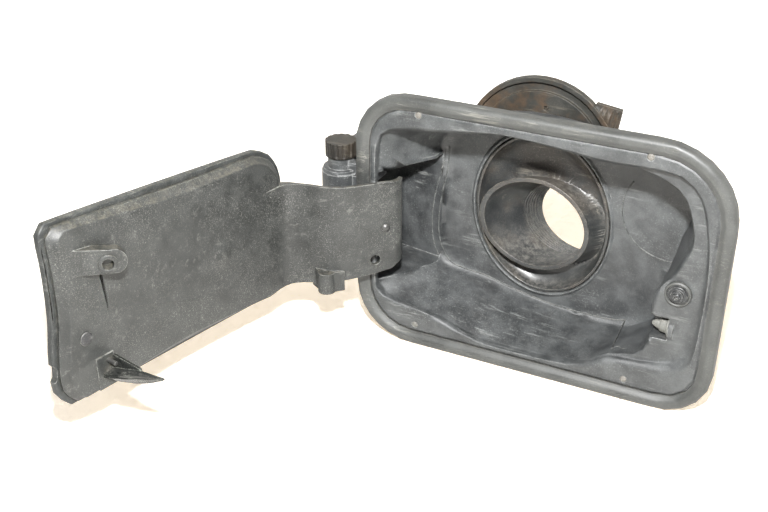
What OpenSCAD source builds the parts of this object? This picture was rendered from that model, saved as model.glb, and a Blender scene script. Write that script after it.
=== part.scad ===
// Filler door unit of a car: a moulded pocket with a rubber rim, an oblique filler
// sleeve, a hinged door on a gooseneck arm and a push-pull lock.
// X runs along the rim, Y into the pocket and Z up. The origin is the middle of the
// four fixing pegs, on the back face of the flange.

/* [Rim] */
// Width of the rim over its rubber lip
rim_w = 231; // [228:1:236]
// Height of the rim over its rubber lip
rim_h = 170; // [168:1:174]
// Corner radius, hinge side, top
rim_r_tl = 34; // [30:1:38]
// Corner radius, lock side, top
rim_r_tr = 46; // [42:1:50]
// Corner radius, lock side, bottom
rim_r_br = 30; // [28:1:34]
// Corner radius, hinge side, bottom
rim_r_bl = 38; // [34:1:42]
// Width of the rubber lip
lip_w = 8.8; // [8:0.2:9.4]
// Height of the rubber lip in front of the flange
lip_h = 4.2; // [3.6:0.2:4.8]
// Distance between the fixing pegs along the rim
peg_dx = 138.5; // [136:0.5:140]
// Distance between the fixing pegs, up
peg_dz = 145; // [144:0.5:146]
// Radius of a fixing peg behind the flange
peg_r = 2.5; // [2:0.1:3]
// Length of a fixing peg behind the flange
peg_len = 13; // [8:1:16]

/* [Pocket] */
// Depth of the pocket's back wall behind the lip
pocket_depth = 54; // [50:1:58]
// Wall thickness of the moulded pocket
wall = 2.3; // [2:0.1:2.8]
// Depth of the flange's front face behind the lip
flange_y = 2.8; // [2.4:0.2:3.2]
// Thickness of the flange
flange_t = 3.8; // [3.4:0.2:4.2]
// Depth of the lock platform behind the lip
platform_y = 8; // [7.6:0.2:8.6]
// Half width of the mouth in the back wall
mouth_rx = 44.5; // [42:0.5:46]
// Half height of the mouth in the back wall
mouth_rz = 55; // [52:0.5:57]
// Lean of the mouth
mouth_lean = 9; // [6:1:12]

/* [Filler sleeve] */
// Radius of the filler bore at its rear end
bore_r = 25.5; // [24:0.5:26]
// Radius of the filler bore at its front lip
bore_lip_r = 29; // [28:0.5:30]
// Wall of the filler tube
tube_wall = 2.6; // [2:0.1:3]
// Sideways slant of the filler tube
tube_yaw = 35; // [32:1:37]
// Downward slant of the filler tube
tube_dip = 4; // [2:1:6]
// Depth of the tube's front lip behind the rim's lip
tube_front_y = 48; // [46:1:50]
// Depth of the tube's rear end behind the rim's lip
tube_rear_y = 82; // [80:1:88]
// Radius of the round ends of the rear boot
boot_r = 50; // [46:1:52]
// Thickness of the rear boot's plate
boot_t = 3; // [2.5:0.5:4]

/* [Hinge] */
// Door angle between closed and open
open_angle = 102; // [98:1:104]
// Radius of the hinge pin
pin_r = 3; // [2.6:0.1:3.2]
// Running clearance of the hinge pin in its bushes
pin_gap = 0.06; // [0.04:0.01:0.1]
// Wall of a hinge bush
bush_t = 1.5; // [1.2:0.1:1.8]
// Radius of the door's knuckles
knuckle_r = 7.5; // [7:0.1:7.8]
// Radius of the arm's outer face about the hinge pin
arm_r = 37.4; // [37.2:0.1:38]
// Thickness of the arm
arm_t = 2.4; // [2:0.1:2.6]
// Radius of the hinge tower
tower_r = 12.5; // [12:0.1:13]
// Radius of the tower's neck
neck_r = 8.5; // [8:0.1:9]
// Radius of the notched cap
cap_r = 10; // [9.5:0.1:11]
// Number of notches round the cap
cap_notches = 14; // [10:1:18]
// Wire radius of the hinge spring
spring_wire_r = 0.8; // [0.6:0.1:0.9]
// Turns of the hinge spring
spring_turns = 6; // [4:1:8]

/* [Door] */
// Thickness of the outer cover's skin
cover_t = 4.4; // [3.6:0.2:4.8]
// Crown of the outer cover
cover_crown = 1.4; // [0.6:0.2:1.8]
// Step from the cover's edge to the carrier's edge
step_1 = 3.6; // [3:0.2:4]
// Step from the carrier's edge to its raised face
step_2 = 4; // [3.4:0.2:4.6]
// Depth of the door's inner face behind the lip, when closed
door_in_y = 5; // [4.6:0.2:5.4]
// Thickness of the slanted tongue that holds the eye
eye_t = 6; // [5:0.5:6.5]
// Radius of the tongue's round end
eye_end_r = 7.3; // [6.4:0.1:7.6]
// Radius of the eye
eye_r = 3.2; // [2.6:0.2:3.6]
// Wall of the eye's bush
eye_bush_t = 1.2; // [0.8:0.1:1.4]
// Length of the latch hook into the pocket
hook_len = 44; // [40:1:46]

/* [Lock] */
// Radius of the fixing bolt's thread
bolt_r = 3; // [2.5:0.5:3.5]
// Radius of the lock plunger
plunger_r = 3; // [2.6:0.1:3.2]
// Travel of the lock plunger into the hook's eye
plunger_travel = 15; // [14:0.5:15]
// Running clearance of the lock plunger
plunger_gap = 0.08; // [0.05:0.01:0.1]

/* [Hidden] */

// Steps round every lofted outline
N = 90;
// Roundness of bores, pins and bosses
$fn = 48;
// Overlap that makes two solids one
eps = 0.02;
// Clearance between pieces that seat on each other
seat_gap = 0.1;

flange_back = flange_y + flange_t;
hub = [107, 85];
door_hub = [112, 88];
hinge = [-17, 14];
peg_mid = [110.75, 86.5];
bolt_at = [204, 77];
lock_at = [14.5, 51];

// Outlines as points in X and Z, in order round the pocket. They share their hinge side.
edge_top = [[214, 128], [209, 141], [200, 149], [188, 151.5], [152, 151], [129, 153.5],
    [93, 155.5], [56, 150.5], [22, 146]];
edge_hinge = [[15, 138], [13, 125], [12.9, 80], [13, 38], [17, 30]];
edge_floor = [[43, 25], [58, 22], [72, 17], [93, 13], [134, 13.5], [156, 17.5]];
bead_lock = [[168, 25], [183, 26], [206, 28.5], [214, 33], [218, 42], [219.8, 80], [218.5, 105]];
void_lock = [[168, 26], [184, 30], [190, 40], [191, 50], [190, 62], [191.5, 75], [199, 86],
    [208, 107], [207, 118]];
void_top = [[204, 129], [199, 138], [190, 144], [176, 148.5]];
bead_edge = concat(edge_top, edge_hinge, edge_floor, bead_lock);
void_edge = concat(void_top, [for (i = [4:8]) edge_top[i]], edge_hinge, edge_floor, void_lock);
back_edge = [[199, 108], [196, 128], [185, 141], [160, 147], [130, 149.5], [105, 151.5],
    [80, 149.5], [56, 141], [42, 130], [38, 117], [39, 105], [35, 84], [33, 72], [36, 50],
    [44, 36], [66, 32], [94, 26], [123, 20.5], [163, 20], [180, 28.5], [187, 36], [190.5, 52],
    [191.5, 72], [194, 92]];
door_edge = [[197.3, 120], [198, 141], [195, 146], [190, 147], [114, 142.5], [52, 138], [42, 136.5],
    [32, 131], [26, 122.5], [22.5, 111], [22, 75], [23, 45], [26, 36.5], [34, 33.5], [60, 34.5],
    [185, 36.5], [194, 38.5], [200, 44], [202.5, 52], [201.5, 70], [198.3, 92]];

// Places one piece in the frame of the fixing pegs.
module placed() {
    translate([-peg_mid.x, -flange_back, -peg_mid.y]) children();
}

// Turns what is drawn in the closed door's place about the hinge pin to the open place.
module opened() {
    translate([hinge.x, hinge.y, 0])
        rotate([0, 0, -open_angle])
            translate([-hinge.x, -hinge.y, 0])
                children();
}

function arc(c, r, a0, a1, n) = [for (i = [0:n])
    let (a = a0 + (a1 - a0) * i / n) c + r * [cos(a), sin(a)]];

// The rim's outline, moved inwards by d.
function rim_line(d) = concat(
    arc([rim_w - rim_r_tr, rim_h - rim_r_tr], rim_r_tr - d, 0, 90, 9),
    arc([rim_r_tl, rim_h - rim_r_tl], rim_r_tl - d, 90, 180, 9),
    arc([rim_r_bl, rim_r_bl], rim_r_bl - d, 180, 270, 9),
    arc([rim_w - rim_r_br, rim_r_br], rim_r_br - d, 270, 360, 9));

function ellipse(c, rx, rz, lean, n) = [for (i = [0:n - 1])
    let (a = 360 * i / n, u = rx * cos(a), v = rz * sin(a))
    c + [u * cos(lean) - v * sin(lean), u * sin(lean) + v * cos(lean)]];

// A smooth closed curve through the points of an outline.
function smooth(p, k = 5) = [for (i = [0:len(p) - 1], j = [0:k - 1])
    let (n = len(p), a = p[(i + n - 1) % n], b = p[i], c = p[(i + 1) % n], d = p[(i + 2) % n])
    let (t = j / k, u = 2 * a - 5 * b + 4 * c - d, v = 3 * b - a - 3 * c + d)
    0.5 * (2 * b + (c - a) * t + u * t * t + v * t * t * t)];

// How far an outline lies from a centre in one direction.
function reach(line, c, a) = max([for (i = [0:len(line) - 1])
    let (p = line[i] - c, e = line[(i + 1) % len(line)] - line[i], d = [cos(a), sin(a)])
    let (k = cross(d, e), s = cross(p, d) / k, t = cross(p, e) / k)
    (abs(k) > 1e-9 && s >= -1e-6 && s <= 1 + 1e-6 && t > 0) ? t : 0]);

function radii(line, c = hub) = [for (i = [0:N - 1]) reach(line, c, 360 * i / N)];
function inside(r, limit, gap) = [for (i = [0:N - 1]) min(r[i], limit[i] - gap)];
function grown(r, d) = [for (v = r) v + d];
function blend(r, s, t) = [for (i = [0:N - 1]) r[i] * (1 - t) + s[i] * t];
function ring(r, y, c = hub) = [for (i = [0:N - 1])
    let (a = 360 * i / N) [c.x + r[i] * cos(a), y, c.y + r[i] * sin(a)]];

function quad(a, b, c, d) = [[a, b, c], [a, c, d]];

// A tube of rings whose last ring meets the first, such as a wall round an opening.
module wall_loft(rings) {
    k = len(rings);
    n = len(rings[0]);
    polyhedron([for (r = rings, p = r) p],
        [for (j = [0:k - 1], i = [0:n - 1], f = quad(
            j * n + i, ((j + 1) % k) * n + i,
            ((j + 1) % k) * n + (i + 1) % n, j * n + (i + 1) % n)) f], convexity = 10);
}

// A stack of rings closed by a flat face at each end.
module solid_loft(rings) {
    k = len(rings);
    n = len(rings[0]);
    polyhedron([for (r = rings, p = r) p],
        concat(
            [for (j = [0:k - 2], i = [0:n - 1], f = quad(
                j * n + i, j * n + (i + 1) % n, (j + 1) * n + (i + 1) % n, (j + 1) * n + i)) f],
            [[for (i = [0:n - 1]) n - 1 - i]],
            [[for (i = [0:n - 1]) (k - 1) * n + i]]), convexity = 10);
}

// A cylinder along Y, from depth y0 to depth y1.
module rod_y(x, z, r, y0, y1) {
    translate([x, y0, z]) rotate([-90, 0, 0]) cylinder(r = r, h = y1 - y0);
}

// A cylinder along X, from x0 to x1.
module rod_x(y, z, r, x0, x1) {
    translate([x0, y, z]) rotate([0, 90, 0]) cylinder(r = r, h = x1 - x0);
}

// A cylinder up from z0 to z1 on the hinge pin's axis.
module rod_h(r, z0, z1) {
    translate([hinge.x, hinge.y, z0]) cylinder(r = r, h = z1 - z0);
}

// A box given by its two corners.
module block(a, b) {
    translate(a) cube(b - a);
}

// Heights of the hinge, from the floor of its case to the notched cap
case_z0 = 38.5;
case_z1 = 114.8;
tower_z = 109;
bay_z1 = 106;
neck_z = 119;
cap_z = 129;
knuckle_h = 12;
bearing_gap = 0.5;
lower_boss_z = case_z0 + 5;
knuckle_lo = lower_boss_z + bearing_gap;
upper_boss_z = bay_z1 - 3;
knuckle_hi = upper_boss_z - bearing_gap - knuckle_h;
bush_r = pin_r + pin_gap + bush_t;

bead_r = radii(smooth(bead_edge));
void_r = inside(radii(smooth(void_edge)), bead_r, 0.5);
back_r = radii(smooth(back_edge));
mouth_at = [105.4, 85];
mouth_r = inside(radii(ellipse(mouth_at, mouth_rx, mouth_rz, mouth_lean, 72)), back_r, 4);

// How far the wall has come from the flange's edge to the back wall at a share of the depth.
function wall_ring(t, out, y) = ring(grown(blend(void_r, back_r, t), out), y);

module pocket_shell() {
    depth = pocket_depth - platform_y;
    wall_loft([
        ring(radii(rim_line(1.7)), flange_back),
        ring(radii(rim_line(1.7)), flange_y + 1.6),
        ring(radii(rim_line(lip_w + 0.3)), flange_y + 1.6),
        ring(radii(rim_line(lip_w + 1)), flange_y + 0.3),
        ring(radii(rim_line(lip_w + 2.2)), flange_y),
        ring(blend(radii(rim_line(lip_w + 2.2)), bead_r, 0.75), flange_y),
        ring(bead_r, flange_y + 0.9),
        ring(blend(bead_r, void_r, 0.1), platform_y - 1.2),
        ring(blend(bead_r, void_r, 0.22), platform_y - 0.1),
        ring(blend(bead_r, void_r, 0.9), platform_y),
        ring(void_r, platform_y + 0.7),
        wall_ring(0.18, 0, platform_y + depth * 0.12),
        wall_ring(0.4, 0, platform_y + depth * 0.34),
        wall_ring(0.66, 0, platform_y + depth * 0.62),
        wall_ring(0.88, 0, platform_y + depth * 0.88),
        wall_ring(0.97, 0, pocket_depth - 1.2),
        ring(blend(back_r, mouth_r, 0.25), pocket_depth),
        ring(grown(mouth_r, 2.9), pocket_depth),
        ring(grown(mouth_r, 2), pocket_depth - 1.6),
        ring(grown(mouth_r, 0.7), pocket_depth - 1.8),
        ring(mouth_r, pocket_depth - 0.8),
        ring(mouth_r, pocket_depth + wall),
        ring(grown(back_r, 0.8), pocket_depth + wall),
        wall_ring(0.9, wall, platform_y + depth * 0.9),
        wall_ring(0.66, wall, platform_y + depth * 0.62),
        wall_ring(0.4, wall, platform_y + depth * 0.34),
        wall_ring(0.18, wall, platform_y + depth * 0.12 + 1),
        ring(grown(void_r, wall), platform_y + wall + 0.8),
        ring(inside(grown(bead_r, wall), radii(rim_line(lip_w)), 1), platform_y + wall),
        ring(inside(grown(bead_r, wall + 1.2), radii(rim_line(lip_w)), 0.4), flange_back)]);
}

// Sides of the arm's case: where its back starts beside the pocket, and its far side
case_y = 53.4;
case_x = -24.7;

// The space that the arm and its web sweep.
module case_space() {
    translate([0, 0, case_z0]) linear_extrude(case_z1 - case_z0) polygon([
        [9.2, flange_back + 0.2], [13.4, flange_back + 0.2], [13.4, 4], [24, 4], [30, 12],
        [37, 40], [37, case_y], [hinge.x, case_y + 9], [case_x, case_y + 9], [case_x, 26],
        [9.2, 26]]);
    translate([0, 0, case_z0]) linear_extrude(bay_z1 - case_z0) polygon([
        [hinge.x, 10.5], [9.2, 10.5], [9.2, 27], [case_x, 27], [case_x, 14]]);
    rod_h(tower_r - wall, case_z0, bay_z1);
}

module hinge_case() {
    translate([0, 0, case_z0 - wall])
        linear_extrude(case_z1 - case_z0 + 2 * wall)
            polygon([[9.2 - wall, flange_back - 1], [12, flange_back - 1], [15, 11], [36, 43],
                [37, case_y], [37, case_y + wall], [hinge.x, case_y + 9 + wall],
                [case_x - wall, case_y + 9 + wall], [case_x - wall, 26 - wall],
                [9.2 - wall, 26 - wall]]);
    translate([0, 0, case_z0 - wall])
        linear_extrude(bay_z1 - case_z0 + 2 * wall)
            polygon([[-19, 10.5 - wall], [9.2, 10.5 - wall], [9.2, 27], [case_x - wall, 27],
                [case_x - wall, 14]]);
    rod_h(tower_r, case_z0 - wall, tower_z);
    rod_h(tower_r - 0.9, tower_z - 1, tower_z + 2.2);
    rod_h(neck_r, tower_z, neck_z);
    block([hinge.x + 6, hinge.y - 4, tower_z - 1], [hinge.x + 14, hinge.y + 3, neck_z - 3]);
    block([hinge.x + 1, 30, case_z1], [hinge.x + 5, 44, case_z1 + wall + 6]);
}

// Walls round the lock's niche behind the platform, and the seat of the actuator.
niche_a = [189, platform_y - 0.6, lock_at.y - 6.5];
niche_b = [201.2, lock_at.x + 7, lock_at.y + 8.5];

module lock_niche() {
    block([niche_a.x + 2, platform_y + 0.6, niche_a.z - wall],
        [niche_b.x + wall, niche_b.y + wall, niche_b.z + wall]);
    rod_x(lock_at.x, lock_at.y, plunger_r + 5.5, niche_b.x, actuator_mid.x - actuator_half.x - seat_gap);
}

module bolt_boss() {
    rod_y(bolt_at.x, bolt_at.y, 9.4, platform_y + 0.3, platform_y + 5);
}

actuator_mid = [210, 20];
actuator_half = [5.8, 8.6];
actuator_z0 = 34;
actuator_z1 = 66;

module housing() {
    color([0.17, 0.18, 0.19]) placed() difference() {
        union() {
            pocket_shell();
            hinge_case();
            lock_niche();
            bolt_boss();
        }
        case_space();
        rod_h(bush_r, case_z0 - wall - eps, lower_boss_z + eps);
        rod_h(bush_r, upper_boss_z, neck_z + eps);
        block(niche_a, niche_b);
        rod_x(lock_at.x, lock_at.y, guide_r + seat_gap, niche_b.x - 1, actuator_mid.x + 1);
        rod_y(bolt_at.x, bolt_at.y, grommet_r + seat_gap, platform_y - 2, platform_y + 3.4);
        rod_y(bolt_at.x, bolt_at.y, bolt_r + 0.3, platform_y, platform_y + 8);
        for (sx = [-1, 1], sz = [-1, 1])
            rod_y(peg_mid.x + sx * peg_dx / 2, peg_mid.y + sz * peg_dz / 2, peg_hole_r,
                flange_y - 2, flange_back + 2);
    }
}

peg_hole_r = 2.1;
guide_r = 5.2;
grommet_r = 7.8;

// The rubber lip's section, as distance in from the rim's edge and depth.
lip_section = [[0, 3.4], [0.5, 1.4], [2.2, 0.1], [4.6, 0], [6.5, 0.9], [7.7, 2.3], [lip_w, 2.6],
    [lip_w, lip_h], [1.6, lip_h], [1.6, flange_back + 0.1], [6, flange_back + 0.1], [6, flange_back + 1.6],
    [0.8, flange_back + 1.6], [0, flange_back + 0.8]];

module rim_seal() {
    color([0.2, 0.21, 0.22]) placed()
        wall_loft([for (p = lip_section) ring(radii(rim_line(p.x)), p.y)]);
}

module fixing_pegs() {
    color([0.78, 0.77, 0.72]) placed()
        for (sx = [-1, 1], sz = [-1, 1])
            translate([peg_mid.x + sx * peg_dx / 2, flange_back, peg_mid.y + sz * peg_dz / 2])
                rotate([-90, 0, 0])
                    rotate_extrude()
                        polygon([[0, -flange_t - 0.6], [1.5, -flange_t - 0.4], [peg_hole_r - 0.1, -flange_t],
                            [peg_hole_r - 0.1, 0], [peg_r, 0], [peg_r, peg_len - 3], [peg_r - 1.5, peg_len],
                            [0, peg_len]]);
}

// The filler tube's axis starts in the plane of its front lip.
tube_from = [104, tube_front_y, 80];
tube_run = (tube_rear_y - tube_front_y) / (cos(tube_yaw) * cos(tube_dip));

module along_tube() {
    translate(tube_from)
        rotate([0, 0, -tube_yaw])
            rotate([-90 - tube_dip, 0, 0])
                children();
}

// Cuts both ends of a slanted tube parallel to the rim.
module between(y0, y1) {
    intersection() {
        children();
        block([-20, y0, -20], [rim_w + 40, y1, rim_h + 40]);
    }
}

tube_cone = 20;

module bowl() {
    floor_y = pocket_depth + 7;
    rim = inside(mouth_r, mouth_r, 0.4);
    inner = radii(ellipse([112, 79], 34, 28, 0, 72));
    wall_loft([
        ring(grown(rim, 0), pocket_depth + wall + seat_gap),
        ring(grown(rim, 0), pocket_depth - 0.6),
        ring(grown(rim, -0.6), pocket_depth - 1.2),
        ring(grown(rim, -1.8), pocket_depth - 1.2),
        ring(grown(rim, -2.6), pocket_depth + 0.4),
        ring(grown(rim, -3.4), pocket_depth + 3),
        ring(blend(grown(rim, -4), inner, 0.2), floor_y - 1),
        ring(blend(grown(rim, -4), inner, 0.45), floor_y),
        ring(inner, floor_y + 1.5),
        ring(inner, floor_y + 1.5 + wall),
        ring(blend(grown(rim, -2), inner, 0.4), floor_y + wall),
        ring(grown(rim, 0), floor_y),
        ring(grown(rim, 5), pocket_depth + 2 * wall + seat_gap),
        ring(grown(rim, 5), pocket_depth + wall + seat_gap)]);
}

module filler_sleeve() {
    color([0.15, 0.15, 0.16]) placed() difference() {
        union() {
            bowl();
            between(tube_front_y, tube_rear_y) along_tube() {
                translate([0, 0, -30]) cylinder(r = bore_lip_r + tube_wall, h = 30 + eps);
                cylinder(r1 = bore_lip_r + tube_wall, r2 = bore_r + tube_wall, h = tube_cone);
                translate([0, 0, tube_cone - eps]) cylinder(r = bore_r + tube_wall, h = tube_run);
            }
        }
        along_tube() {
            translate([0, 0, -60]) cylinder(r = bore_lip_r, h = 60 + eps);
            cylinder(r1 = bore_lip_r, r2 = bore_r, h = tube_cone);
            translate([0, 0, tube_cone - eps]) cylinder(r = bore_r, h = tube_run + 40);
        }
    }
}

// The rear boot is a long round outline between two centres.
boot_top = [94, 118.5];
boot_low = [122, 82];

function boot_line(r) =
    let (d = boot_low - boot_top, a = atan2(d.y, d.x))
    concat(arc(boot_top, r, a + 90, a + 270, 24), arc(boot_low, r, a - 90, a + 90, 24));

module slab_y(line, y0, y1) {
    translate([0, y1, 0]) rotate([90, 0, 0]) linear_extrude(y1 - y0) polygon(line);
}

boot_y = tube_rear_y - 5;

module rear_boot() {
    color([0.2, 0.18, 0.17]) placed() difference() {
        union() {
            slab_y(boot_line(boot_r), boot_y - 5, boot_y);
            slab_y(boot_line(boot_r - 5), boot_y - 2, boot_y + boot_t);
            boot_tab();
            intersection() {
                along_tube() translate([0, 0, tube_run - 22]) cylinder(r = bore_r + tube_wall + 3.2, h = 30);
                block([60, boot_y - 6, 20], [200, tube_rear_y - 0.4, 140]);
            }
        }
        difference() {
            slab_y(boot_line(boot_r - 3), boot_y - 6, boot_y - 1.6);
            slab_y(boot_line(boot_r - 9), boot_y - 4.2, boot_y);
            along_tube() translate([0, 0, tube_run - 24]) cylinder(r = bore_r + tube_wall + 3.2, h = 40);
        }
        along_tube() {
            cylinder(r1 = bore_lip_r + tube_wall + seat_gap, r2 = bore_r + tube_wall + seat_gap, h = tube_cone);
            cylinder(r = bore_r + tube_wall + seat_gap, h = tube_run + 20);
        }
        rod_y(97, 149, 1.6, boot_y - 10, boot_y + 10);
    }
}

module boot_tab() {
    translate([128.5, boot_y - 3, 151]) rotate([0, 8, 0]) {
        block([-1, 0, -10], [15.5, 3, 6.2]);
        for (i = [0:3])
            block([2.4 + i * 3.2, -1.2, -6.2], [3.9 + i * 3.2, 0.1, 5.2]);
    }
}

module fixing_bolt() {
    color([0.24, 0.24, 0.25]) placed()
        translate([bolt_at.x, platform_y, bolt_at.y]) rotate([-90, 0, 0]) {
            difference() {
                rotate_extrude()
                    polygon([[0, -5.6], [2, -5.4], [2.6, -4.6], [2.6, -4.2], [3.7, -4.2], [3.7, -2.4],
                        [5.2, -2.1], [5.2, -1.2], [bolt_r - 0.2, -1.2], [bolt_r - 0.2, 5.5], [bolt_r, 5.5],
                        [bolt_r, 19], [bolt_r - 1, 20], [0, 20]]);
                translate([0, 0, -6]) cylinder(r = 1.2, h = 2.4, $fn = 6);
            }
        }
}

module bolt_washer() {
    color([0.33, 0.33, 0.34]) placed() difference() {
        rod_y(bolt_at.x, bolt_at.y, 6.2, platform_y - 1.1, platform_y);
        rod_y(bolt_at.x, bolt_at.y, bolt_r + 0.1, platform_y - 3, platform_y + 3);
    }
}

module bolt_grommet() {
    color([0.1, 0.1, 0.11]) placed()
        translate([bolt_at.x, platform_y, bolt_at.y]) rotate([-90, 0, 0])
            rotate_extrude()
                polygon([[bolt_r + 0.2, 0.1], [6.3, 0.1], [6.3, -1.4], [6.9, -1.9], [grommet_r, -1.4],
                    [grommet_r, 3.3], [bolt_r + 0.2, 3.3]]);
}

module hinge_bush(z0, z1) {
    difference() {
        rod_h(bush_r, z0, z1);
        rod_h(pin_r + pin_gap, z0 - 1, z1 + 1);
    }
}

module hinge_bush_upper() {
    color([0.75, 0.74, 0.7]) placed() hinge_bush(upper_boss_z, neck_z);
}

module hinge_bush_lower() {
    color([0.75, 0.74, 0.7]) placed() hinge_bush(case_z0 - wall, lower_boss_z);
}

module hinge_cap() {
    color([0.24, 0.19, 0.15]) placed() difference() {
        rod_h(cap_r, neck_z, cap_z);
        rod_h(neck_r - 1.2, neck_z - 1, cap_z - 2.4);
        for (i = [0:cap_notches - 1])
            translate([hinge.x, hinge.y, neck_z + 1.4])
                rotate([0, 0, 360 * i / cap_notches])
                    translate([cap_r - 0.7, -0.8, 0])
                        cube([2, 1.6, cap_z - neck_z]);
    }
}

module actuator_plan(g) {
    x = actuator_half.x - g;
    y = actuator_half.y - g;
    polygon([for (s = [[1, 1, 0], [-1, 1, 90], [-1, -1, 180], [1, -1, 270]],
        p = arc([s.x * (x - 2), s.y * (y - 2)], 2, s.z, s.z + 90, 3)) p]);
}

module actuator_body() {
    color([0.12, 0.12, 0.13]) placed() difference() {
        union() {
            translate([actuator_mid.x, actuator_mid.y, actuator_z0])
                linear_extrude(actuator_z1 - actuator_z0) actuator_plan(0);
            rod_x(lock_at.x, lock_at.y, guide_r, niche_b.x + 0.2, actuator_mid.x);
            block([actuator_mid.x - 4.6, actuator_mid.y - 5, actuator_z0 - 10],
                [actuator_mid.x + 4.6, actuator_mid.y + 5, actuator_z0 + 1]);
        }
        rod_x(lock_at.x, lock_at.y, plunger_r + plunger_gap, niche_b.x - 5, actuator_mid.x + 3);
        block([actuator_mid.x - 3.4, actuator_mid.y - 3.8, actuator_z0 - 11],
            [actuator_mid.x + 3.4, actuator_mid.y + 3.8, actuator_z0 - 1]);
        for (z = [actuator_z0 + 4, actuator_z1 - 4])
            rod_y(actuator_mid.x, z, 1.2, actuator_mid.y + 2, actuator_mid.y + 20);
    }
}

module actuator_cover() {
    y0 = actuator_mid.y + actuator_half.y + 0.05;
    color([0.16, 0.16, 0.17]) placed() difference() {
        union() {
            block([actuator_mid.x - 5, y0, actuator_z0 + 0.5], [actuator_mid.x + 5, y0 + 1.6, actuator_z1 - 0.5]);
            block([actuator_mid.x - 3.6, y0 + 1, actuator_z0 + 9], [actuator_mid.x + 3.6, y0 + 2.6, actuator_z1 - 9]);
        }
        for (z = [actuator_z0 + 4, actuator_z1 - 4])
            rod_y(actuator_mid.x, z, 1.3, y0 - 1, y0 + 4);
    }
}

module actuator_screws() {
    y0 = actuator_mid.y + actuator_half.y + 1.65;
    color([0.6, 0.6, 0.62]) placed()
        for (z = [actuator_z0 + 4, actuator_z1 - 4]) {
            rod_y(actuator_mid.x, z, 1.15, y0 - 6, y0 + eps);
            difference() {
                rod_y(actuator_mid.x, z, 2.4, y0, y0 + 1.6);
                translate([actuator_mid.x, y0 + 0.7, z]) rotate([-90, 0, 0]) cylinder(r = 1.2, h = 2, $fn = 6);
            }
        }
}

module connector_terminals() {
    color([0.75, 0.72, 0.6]) placed()
        for (dy = [-2, 2])
            block([actuator_mid.x - 0.4, actuator_mid.y + dy - 0.8, actuator_z0 - 7.5],
                [actuator_mid.x + 0.4, actuator_mid.y + dy + 0.8, actuator_z0 - 1]);
}

module plunger_guide() {
    color([0.45, 0.45, 0.43]) placed()
        translate([niche_b.x - 0.05, lock_at.x, lock_at.y]) rotate([0, -90, 0])
            rotate_extrude()
                polygon([[plunger_r + plunger_gap, 0], [guide_r + 1, 0], [guide_r + 1, 1.2], [guide_r - 0.4, 1.8],
                    [guide_r - 0.8, 5], [plunger_r + 0.8, 6], [plunger_r + plunger_gap, 6]]);
}

// Sides of the latch hook, and how far the plunger enters it when locked
hook_x = [169.4, 178];
hook_mid = (hook_x[0] + hook_x[1]) / 2;
hook_bite = 2.5;
plunger_tip_x = hook_x[1] - hook_bite + plunger_travel;

module lock_plunger() {
    color([0.55, 0.55, 0.52]) placed()
        translate([actuator_mid.x + 2.5, lock_at.x, lock_at.y]) rotate([0, -90, 0])
            rotate_extrude()
                polygon([[0, 0], [plunger_r, 0], [plunger_r, actuator_mid.x + 2.5 - plunger_tip_x - 3.4],
                    [1.2, actuator_mid.x + 2.5 - plunger_tip_x], [0, actuator_mid.x + 2.5 - plunger_tip_x]]);
}

// Height of the arm's edges, along X in the open place
arm_side = [[-42, 39.2], [-20, 43.5], [-6, 46.5], [18, 50.5], [25, 52.5], [28, 56], [32, 62],
    [32, 113.2], [-6, 112.4], [-42, 111.1]];

// The arm seen from above: it flows out of the door's face, bends round the rim and
// ends in a short return.
arm_end = [26, 3];
arm_plan = concat(
    [[-39.93, -49.62], [-37.12, -40], [-35.61, -33.16], [-34.59, -29.8], [-32.6, -27],
        [-29.2, -25.2], [-24.5, -24], [-20.5, -23.6]],
    arc(hinge, arm_r, -90, -43, 9),
    [arm_end, [28, 5.4], [28.6, 8], [27.6, 11.2], [25, 11.4], [25.4, 8], [23.4, 3.9]],
    arc(hinge, arm_r - arm_t, -43, -92, 9),
    [[-33.6, -23.2], [-38, -25], [-40.9, -45.3]]);

// The web that joins the return to the knuckles, seen from above and from the side.
web_plan = [[26.6, 8.4], [26.8, 10.8], [14, 13.4], [3, 15.6], hinge + [0, 1.6], hinge - [0, 1.6],
    [3, 12.4], [14, 10.2], [26, 8]];
web_side = [[hinge.x - 1, knuckle_lo + 1], [hinge.x + 9, knuckle_lo + 1], [7, 64], [30, 64], [30, 101],
    [7, 101], [hinge.x + 9, knuckle_hi + knuckle_h - 1], [hinge.x - 1, knuckle_hi + knuckle_h - 1]];

// Extrudes a plan and keeps what lies inside a side view.
module plan_and_side(plan, side) {
    intersection() {
        translate([0, 0, 30]) linear_extrude(100) polygon(plan);
        translate([0, 60, 0]) rotate([90, 0, 0]) linear_extrude(120) polygon(side);
    }
}

// Door outlines as distances from the door's middle
door_r = radii(smooth(door_edge), door_hub);

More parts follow.
